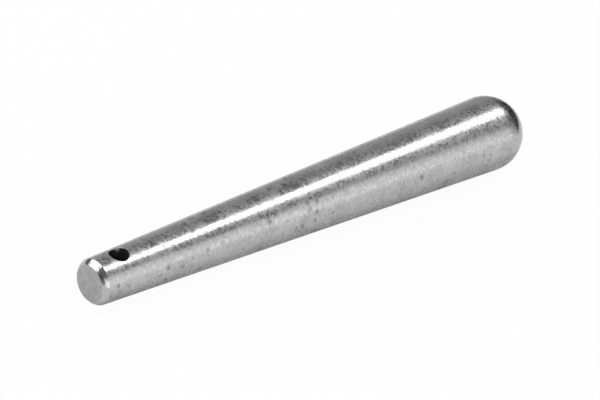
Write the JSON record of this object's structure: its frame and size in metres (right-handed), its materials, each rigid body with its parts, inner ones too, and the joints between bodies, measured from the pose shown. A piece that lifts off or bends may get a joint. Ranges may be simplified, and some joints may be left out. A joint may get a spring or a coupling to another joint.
{
  "type": "conical coupler pin",
  "caption": "Solid steel taper pin: a slow cone with a domed driving end, a chamfered flat small end and a cross hole for a spring clip.",
  "frame": {"origin": "centre of the flat small end", "axes": "+X along the pin's axis from the small end to the dome, +Z along the clip hole, +Y across both"},
  "size_m": [0.087, 0.012, 0.012],
  "materials": {
    "zinc_plated_steel": "bright zinc plating over a turned surface, with faint turning marks round the pin, fine grain and small dark pits"
  },
  "bodies": {
    "root": {"pin": "zinc_plated_steel"}
  },
  "joints": []
}
